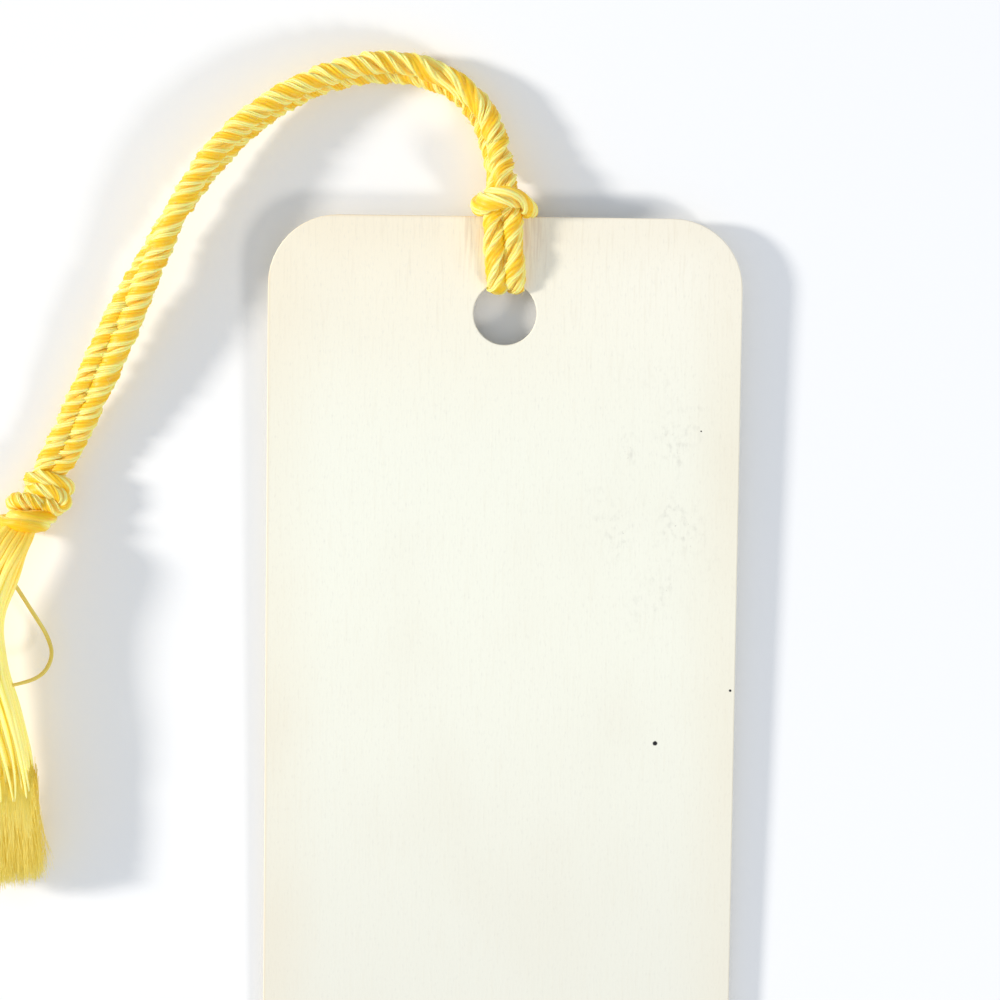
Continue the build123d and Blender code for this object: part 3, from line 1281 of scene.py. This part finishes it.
    def attach(
        self,
        pieces: dict[str, bpy.types.Object],
        line: Centreline,
        cuts: list[int],
    ) -> None:
        """Args:
            pieces: The pieces by name.
            line: The cord's centreline.
            cuts: Where the line is cut into the pieces.
        """
        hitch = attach(pieces["lark_head_hitch"], Body.CARD.value)
        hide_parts("hitch_leg_left", "hitch_leg_right", "hitch_bight")
        flip_start, flip_end = (self.place.on_table((0.0, y, 0.0)) * MM for y in self.flip_window)
        swing_start = self.place.on_table(self.swing_start) * MM
        swing_end = self.place.on_table(self.swing_end) * MM
        spans = {Side.LEFT: cuts[:2], Side.RIGHT: cuts[-2:]}
        for side, (first, last) in spans.items():
            word = side.name.lower()
            neck = pieces[f"neck_of_cord_{word}"]
            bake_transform(neck)
            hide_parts(f"neck_{word}")
            tail = pieces[f"tail_of_cord_{word}"]
            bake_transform(tail)
            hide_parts(f"tail_{word}")
            path = line.path(first, last)
            path = path[::-1] if side is Side.LEFT else path
            line.length(first, last)


@dataclass(frozen=True)
class KnotTurn:
    """One run of the cord in the knot, in the knot's own frame, with its fullness and lay along it."""

    route: tuple[Point, ...]
    fullness: tuple[float, ...]
    lay: tuple[float, ...]

    def along(self, values: tuple[float, ...], count: int) -> np.ndarray:
        """Spread values evenly along the run, at so many points."""
        return np.interp(np.linspace(0, 1, count), np.linspace(0, 1, len(values)), values)


@dataclass
class OverhandKnot:
    """The knot that binds both tails: a crossing, a bent-back loop, and a wrap that ends as a sleeve."""

    place: RestingPlace
    knot: KnotPlace
    cord: TwistedCord = field(default_factory=TwistedCord)
    steps: int = 18
    seed: int = 31
    ply_seed: float = 5.3
    turn_seed: float = 11.0
    settled: float = 0.78
    smooth_lay: Range = (6.0, 14.0)
    smooth_share: float = 0.8
    turns: tuple[KnotTurn, ...] = (
        KnotTurn(
            route=(
                (-1.3, -1.3, -1.0),
                (-2.0, 0.0, -1.6),
                (-1.6, 1.1, -2.2),
                (-0.4, 1.8, -2.6),
                (0.9, 1.7, -2.9),
                (1.8, 0.8, -2.8),
                (2.1, -0.4, -2.3),
                (1.2, -1.6, -1.6),
                (-0.3, -1.8, -1.2),
            ),
            fullness=(0.60, 0.64, 0.60, 0.58),
            lay=(5.0, 6.5, 5.0),
        ),
        KnotTurn(
            route=(
                (-1.5, 0.4, -0.6),
                (-0.8, 1.4, -1.1),
                (0.3, 1.9, -1.6),
                (1.6, 1.6, -1.75),
                (2.4, 1.0, -1.1),
                (2.1, 0.9, -0.3),
                (1.0, 1.5, -0.15),
                (-0.1, 1.5, -0.1),
                (-0.8, 0.6, 0.1),
            ),
            fullness=(0.58, 0.64, 0.70, 0.66, 0.58),
            lay=(4.2, 3.4, 4.2),
        ),
        KnotTurn(
            route=(
                (0.8, 0.6, -0.5),
                (0.2, 1.6, -0.1),
                (-0.7, 2.0, 0.2),
                (-1.6, 1.9, 0.5),
                (-2.3, 1.0, 0.9),
                (-2.4, -0.4, 1.3),
                (-1.7, -1.5, 1.4),
                (-0.3, -1.8, 1.0),
                (1.0, -1.2, 0.9),
                (1.4, 0.1, 1.1),
                (1.0, 1.7, 1.5),
                (-0.1, 2.7, 2.1),
                (-1.2, 2.7, 2.6),
                (-2.1, 1.6, 3.1),
                (-2.3, -0.2, 3.4),
                (-1.7, -1.2, 3.2),
                (-0.5, -1.4, 2.8),
            ),
            fullness=(0.60, 0.72, 0.76, 0.74, 0.80, 1.0, 1.12, 0.95, 0.75),
            lay=(2.8, 2.5, 3.0, 6.0, 14.0, 20.0, 14.0),
        ),
    )

    def build(self, material: bpy.types.Material) -> bpy.types.Object:
        """Build the knot.

        Args:
            material: The cord's finish.

        Returns:
            The piece.
        """
        mesh = TubeMesh()
        draw = random.Random(self.seed)
        for index, turn in enumerate(self.turns):
            route = [self.knot.at(self.place, (x, y * self.settled, z)) for x, y, z in turn.route]
            line = Centreline.of_route("knot_route", route, self.steps)
            count = len(line.points)
            lay = turn.along(turn.lay, count)
            calm = np.interp(lay, self.smooth_lay, (0.0, self.smooth_share))
            fullness = turn.along(turn.fullness, count)
            strands = self.cord.strands(line, self.cord.wind(line, lay), fullness, calm=calm)
            for ply, (rings, relief) in enumerate(strands):
                seed = self.ply_seed * (ply + 1) + self.turn_seed * index
                mesh.add(rings, line.along, seed, relief, calm)
                self.cord.add_fuzz(mesh, line, rings, slice(0, count), draw)
        piece = mesh.build("overhand_knot", material)
        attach(piece, Body.TAIL.value)
        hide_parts("tassel_knot")
        LOG.info("overhand knot built")
        return piece


@dataclass(frozen=True)
class LooseFibres:
    """The fibres that a yarn frays into. Each pair of numbers is the least and the most that is drawn."""

    per_yarn: int = 56
    diameter: float = 0.06
    taper: float = 0.55
    sides: int = 3
    steps: int = 8
    seed_step: float = 1.7
    heading: Flat = (0.4, -11.4)
    length: float = 11.2
    length_share: Range = (0.76, 1.03)
    opening: Range = (-1.4, 1.8)
    set_back: Range = (-0.6, 2.4)
    usual_set_back: float = 0.0
    cover: float = 0.3
    start_side: float = 0.15
    start_rise: float = 0.17
    fan: float = 0.48
    fan_by_column: float = 0.08
    fan_power: float = 1.4
    height: float = 5.1
    lowest: float = 0.06
    floor: float = 0.05
    headroom: float = 0.25
    rise_power: float = 1.3
    wave: Range = (0.05, 0.34)
    wave_turn: float = 5.0
    rise_wave: float = 0.5
    rise_turn: float = 4.0

    def add(self, brush: TubeMesh, root: Vector, column: float, draw: random.Random, seed: float) -> None:
        """Add the fibres at the end of one yarn.

        Args:
            brush: The mesh that takes them.
            root: Where the yarn opens.
            column: The yarn's place across the tassel.
            draw: The source of their irregularities.
            seed: The yarn's own number.
        """
        heading = Vector((*self.heading, 0.0)).normalized()
        sideways = np.array((-heading.y, heading.x, 0.0))
        share = np.linspace(0, 1, self.steps)
        opening = draw.uniform(*self.opening)
        for fibre in range(self.per_yarn):
            length = self.length * draw.uniform(*self.length_share)
            back = opening + draw.triangular(*self.set_back, self.usual_set_back)
            fan = draw.gauss(0, self.fan) + self.fan_by_column * column
            rise = draw.uniform(self.lowest, self.height)
            wave = draw.uniform(*self.wave)
            phase = draw.uniform(0, 2 * math.pi)
            start_side = draw.gauss(0, self.start_side)
            start_rise = draw.gauss(0, self.start_rise)
            run = back + share * (length - back)
            side = start_side + fan * share**self.fan_power + wave * np.sin(phase + self.wave_turn * share)
            lift = root.z + self.cover + start_rise
            ripple = self.rise_wave * wave * np.cos(phase + self.rise_turn * share)
            height = lift + (rise - lift) * share**self.rise_power + ripple
            points = np.array(root)[None] + run[:, None] * np.array(heading) + side[:, None] * sideways
            points[:, 2] = np.clip(height, self.floor, self.height + self.headroom)
            line = Centreline(points)
            radius = self.diameter / 2 * (1 - self.taper * share[:, None])
            brush.add(line.tube(radius, self.sides), line.along, seed + self.seed_step * fibre)


@dataclass
class Tassel:
    """The cord's ends past the knot, opened into yarns that fray to a brush, and one stray yarn.

    A yarn starts inside the knot, where each of its runs is a pinch, a middle and a place along the cord, and
    has a rise. It goes on through the stations, which are places on the table with heights.
    """

    place: RestingPlace
    knot: KnotPlace
    plies: int = 4
    rows: int = 3
    splits: int = 5
    split_ring: float = 0.32
    yarn_diameter: float = 0.50
    yarn_taper: float = 0.35
    taper_start: float = 0.75
    ring_sides: int = 10
    lobes: int = 3
    lobe: float = 0.10
    lobe_turn: float = 1.1
    bundle_pitch: float = 0.86
    level_pitch: float = 1.3
    end_pitch: float = 1.40
    jitter: float = 0.20
    jitter_rise: float = 0.7
    steps: int = 8
    seed: int = 20
    yarn_seed: float = 2.3
    swing_window: Range = (0.4, 4.4)
    knot_runs: tuple[Point, ...] = ((0.50, -0.6, 1.6), (0.82, -0.6, 3.2), (0.95, -0.75, 5.0))
    knot_rises: tuple[float, ...] = (0.1, 1.1, 2.8)
    stations: tuple[Flat, ...] = (
        (-50.6, -35.9),
        (-52.4, -40.3),
        (-52.3, -45.6),
        (-51.1, -51.2),
        (-49.7, -56.8),
        (-49.5, -59.4),
    )
    heights: tuple[float, ...] = (5.2, 5.2, 5.0, 4.7, 4.2, 3.6)
    spread: tuple[float, ...] = (0.15, 0.5, 0.8, 1.0, 1.0, 1.1)
    fibres: LooseFibres = LooseFibres()
    stray: tuple[Point, ...] = (
        (-50.2, -35.6, 4.2),
        (-48.4, -38.5, 3.4),
        (-47.0, -40.9, 2.6),
        (-45.8, -43.1, 2.0),
        (-45.3, -44.9, 1.9),
        (-46.1, -46.7, 2.3),
        (-47.7, -47.5, 3.2),
        (-49.9, -47.9, 4.3),
    )
    stray_diameter: float = 0.42
    stray_taper: float = 0.8
    stray_steps: int = 16
    stray_seed: float = 91.0
    # The yarn and brush finishes carry a painted highlight on the yarns' upper side, painted shade below, and
    # a painted glow
    yarn_finish: RayonFinish = RayonFinish(
        name="yarn_rayon",
        bright=(255, 250, 154),
        deep=(254, 239, 112),
        painted_highlight=(255, 253, 175),
        painted_shade=(240, 198, 56),
        root=(252, 200, 24),
        painted_glow=(255, 222, 70),
        flank_highlight_share=0.0,
        relief_highlight_share=0.6,
        relief_shade_share=0.7,
        root_reach=13.0,
        sheen_weight=0.6,
        painted_glow_strength=0.18,
    )
    fray_finish: RayonFinish = RayonFinish(
        name=Slot.FRAY.value,
        bright=(254, 246, 156),
        deep=(238, 206, 44),
        painted_highlight=(254, 244, 165),
        painted_shade=(240, 206, 66),
        root=(250, 218, 80),
        painted_glow=(246, 214, 56),
        flank_highlight_share=0.0,
        relief_highlight_share=0.3,
        relief_shade_share=0.4,
        root_reach=4.0,
        sheen_weight=0.5,
        glow=0.0,
        painted_glow_strength=0.22,
    )
    # Painted shade: a darker copy of the yarn rayon, for the stray yarn that lies in the tassel's cast shadow
    shaded_stray_finish: RayonFinish = RayonFinish(
        name="shaded_stray_rayon",
        bright=(238, 220, 116),
        deep=(212, 188, 78),
        flank_highlight_share=0.0,
        sheen_weight=0.3,
        glow=0.2,
        painted_glow_strength=0.06,
    )

    def across(self, index: int) -> Vector:
        """The direction across the tassel.

        Args:
            index: The number of the station.

        Returns:
            A level direction of length 1.
        """
        before = Vector(self.stations[max(index - 1, 0)])
        after = Vector(self.stations[min(index + 1, len(self.stations) - 1)])
        heading = (after - before).normalized()
        return Vector((-heading.y, heading.x, 0.0))

    def yarn_route(self, column: float, level: float, draw: random.Random) -> list[Vector]:
        """The control points of one yarn.

        Args:
            column: Its place across the tassel, in plies from the middle.
            level: Its place in height, in rows from the middle.
            draw: The source of its small irregularities.

        Returns:
            The points from inside the knot to the brush.
        """
        points = []
        for (pinch, middle, run), rise in zip(self.knot_runs, self.knot_rises):
            sideways = middle + column * self.bundle_pitch * pinch
            up = rise + level * self.level_pitch * pinch
            points.append(self.knot.at(self.place, (sideways, up, run)))
        for index, (station, height) in enumerate(zip(self.stations, self.heights)):
            pitch = self.bundle_pitch + self.spread[index] * (self.end_pitch - self.bundle_pitch)
            point = self.place.on_table((*station, height + level * self.level_pitch))
            wander = Vector((draw.gauss(0, 1), draw.gauss(0, 1), self.jitter_rise * draw.gauss(0, 1)))
            points.append(point + self.across(index) * column * pitch + wander * self.jitter)
        return points

    def yarn_rings(self, line: Centreline, diameter: float, taper: float, turn: float) -> np.ndarray:
        """Rings of a softly lobed yarn.

        Args:
            line: The yarn's centreline.
            diameter: Its diameter.
            taper: The share of its diameter left at its end.
            turn: Where round the yarn its lobes start.

        Returns:
            The rings.
        """
        around = ring_angles(self.ring_sides)
        share = line.along / line.along[-1]
        thinned = np.clip((share - self.taper_start) / (1 - self.taper_start), 0, 1)
        width = diameter / 2 * (1 - (1 - taper) * thinned)
        turns = self.lobes * around[None, :] + self.lobe_turn * line.along[:, None] + turn
        return line.tube(width[:, None] * (1 + self.lobe * np.cos(turns)), self.ring_sides)

    def build_ply(self, ply: int, finishes: dict[Slot, bpy.types.Material]) -> list[bpy.types.Object]:
        """Build one ply's yarns and its brush.

        Args:
            ply: The ply's number from the outer side.
            finishes: The finishes of the yarns and of the brush.

        Returns:
            The two pieces.
        """
        draw = random.Random(self.seed + ply)
        yarns = TubeMesh()
        brush = TubeMesh()
        for row in range(self.rows):
            for split in range(self.splits):
                angle = 2 * math.pi * (split / self.splits) + row
                column = ply - (self.plies - 1) / 2 + self.split_ring * math.cos(angle)
                level = row - (self.rows - 1) / 2 + self.split_ring * math.sin(angle)
                route = self.yarn_route(column, level, draw)
                line = Centreline.of_route("yarn_route", route, self.steps)
                seed = self.yarn_seed * ((ply * self.rows + row) * self.splits + split)
                yarns.add(self.yarn_rings(line, self.yarn_diameter, self.yarn_taper, angle), line.along, seed)
                self.fibres.add(brush, route[-2], column, draw, seed)
        number = ply + 1
        piece = yarns.build(f"yarns_{number}", finishes[Slot.CORD])
        start, end = (self.knot.at(self.place, (0.0, 0.0, run)) * MM for run in self.swing_window)
        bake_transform(piece)
        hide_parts(f"tassel_ply_{number}")
        tuft = brush.build(f"brush_{number}", finishes[Slot.FRAY])
        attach(tuft, Body.TASSEL.value)
        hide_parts(f"frayed_end_{number}")
        LOG.info("ply %d: %d yarns", number, self.rows * self.splits)
        return [piece, tuft]

    def build_stray(self) -> bpy.types.Object:
        """Build the single yarn that bows out of the tassel.

        Returns:
            The piece.
        """
        route = [self.place.on_table(point) for point in self.stray]
        line = Centreline.of_route("stray_route", route, self.stray_steps)
        mesh = TubeMesh()
        rings = self.yarn_rings(line, self.stray_diameter, self.stray_taper, 0.0)
        mesh.add(rings, line.along, self.stray_seed)
        piece = mesh.build("stray_yarn_loop", self.shaded_stray_finish.material())
        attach(piece, Body.TASSEL.value)
        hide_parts("stray_yarn")
        LOG.info("stray yarn: %.1f mm", line.along[-1])
        return piece

    def build(self) -> list[bpy.types.Object]:
        """Build the whole tassel.

        Returns:
            Its pieces.
        """
        finishes = {Slot.CORD: self.yarn_finish.material(), Slot.FRAY: self.fray_finish.material()}
        pieces = []
        for ply in range(self.plies):
            pieces += self.build_ply(ply, finishes)
        return pieces + [self.build_stray()]


@dataclass(frozen=True)
class Lamp:
    """A round soft lamp. Its bearing is counted from the card's right, anticlockwise as seen from above."""

    name: str
    bearing: float
    elevation: float
    distance: float
    size: float
    power: float
    tint: tuple[float, float, float] = (1.0, 0.955, 0.89)

    def build(self, target: Vector) -> None:
        """Hang the lamp and point it.

        Args:
            target: What it points at, in metres.
        """
        data = bpy.data.lights.new(self.name, "AREA")
        data.shape = "DISK"
        data.size = self.size * MM
        data.energy = self.power
        data.color = self.tint
        lamp = bpy.data.objects.new(self.name, data)
        bearing, elevation = math.radians(self.bearing), math.radians(self.elevation)
        flat = math.cos(elevation)
        way = Vector((flat * math.cos(bearing), flat * math.sin(bearing), math.sin(elevation)))
        lamp.location = target + way * self.distance * MM
        lamp.rotation_euler = way.to_track_quat("Z", "Y").to_euler()
        bpy.context.scene.collection.objects.link(lamp)


@dataclass
class Studio:
    """The white table, two low soft lamps with an even surround, and the camera above."""

    table_half: float = 2000.0
    table_drop: float = 0.02
    surround: float = 0.55
    sky: tuple[float, float, float] = (0.88, 0.96, 1.08)
    view_centre: Point = (-0.62, 47.5, 2.4)
    view_width: float = 100.8
    camera_distance: float = 350.0
    camera_tilt: float = 4.6
    camera_roll: float = 0.75
    lamps: tuple[Lamp, ...] = (
        Lamp("lamp_left", bearing=174.0, elevation=25.0, distance=1300.0, size=180.0, power=13.2),
        Lamp("lamp_right", bearing=-38.0, elevation=36.0, distance=1300.0, size=280.0, power=5.0),
    )

    def build(self) -> None:
        """Build the table, the light and the camera."""
        half = self.table_half * MM
        mesh = bpy.data.meshes.new("table_top")
        corners = [(-half, -half, 0), (half, -half, 0), (half, half, 0), (-half, half, 0)]
        mesh.from_pydata(corners, [], [(0, 1, 2, 3)])
        mesh.materials.append(TableFinish().material())
        table = bpy.data.objects.new("table_top", mesh)
        table.location.z = -self.table_drop * MM
        bpy.context.scene.collection.objects.link(table)
        table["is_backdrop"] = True
        target = Vector(self.view_centre) * MM
        for lamp in self.lamps:
            lamp.build(target)
        world = bpy.data.worlds.new("surround")
        world.use_nodes = True
        background = world.node_tree.nodes["Background"]
        background.inputs["Color"].default_value = (*self.sky, 1.0)
        background.inputs["Strength"].default_value = self.surround
        bpy.context.scene.world = world
        self.build_camera(target)

    def build_camera(self, target: Vector) -> None:
        """Hang the camera above the card.

        Args:
            target: The middle of its view, in metres.
        """
        data = bpy.data.cameras.new("camera")
        data.sensor_fit = "HORIZONTAL"
        data.angle = 2 * math.atan(self.view_width / 2 / self.camera_distance)
        camera = bpy.data.objects.new("camera", data)
        tilt, roll = math.radians(self.camera_tilt), math.radians(self.camera_roll)
        camera.rotation_euler = Euler((-tilt, 0.0, roll))
        back = Vector((0.0, math.sin(tilt), math.cos(tilt)))
        camera.location = target + back * self.camera_distance * MM
        bpy.context.scene.collection.objects.link(camera)
        bpy.context.scene.camera = camera


def write_sizes(packed: tuple[Vector, Vector], dressed: tuple[Vector, Vector]) -> None:
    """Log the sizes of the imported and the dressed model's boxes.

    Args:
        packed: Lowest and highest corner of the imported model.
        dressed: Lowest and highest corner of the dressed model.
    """
    boxes = {"packed": [list(corner) for corner in packed], "dressed": [list(corner) for corner in dressed]}
    for name, (low, high) in boxes.items():
        LOG.info("%s box: %s mm", name, [round((b - a) / MM, 1) for a, b in zip(low, high)])


def main() -> None:
    """Load the frame, dress the card and build the cord around it."""
    logging.basicConfig(level=logging.INFO, format="%(name)s: %(message)s")
    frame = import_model()
    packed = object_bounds()
    bpy.context.scene.view_settings.view_transform = "Standard"
    place = RestingPlace()
    knot = KnotPlace()
    Studio().build()
    cord_finish = RayonFinish().material()
    hung = [OverhandKnot(place, knot).build(cord_finish), *Tassel(place, knot).build()]
    HitchedCord(place, knot).build(cord_finish, hung)
    Card().dress(frame["nodes"]["card"])
    write_sizes(packed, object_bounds())


if __name__ == "__main__":
    main()
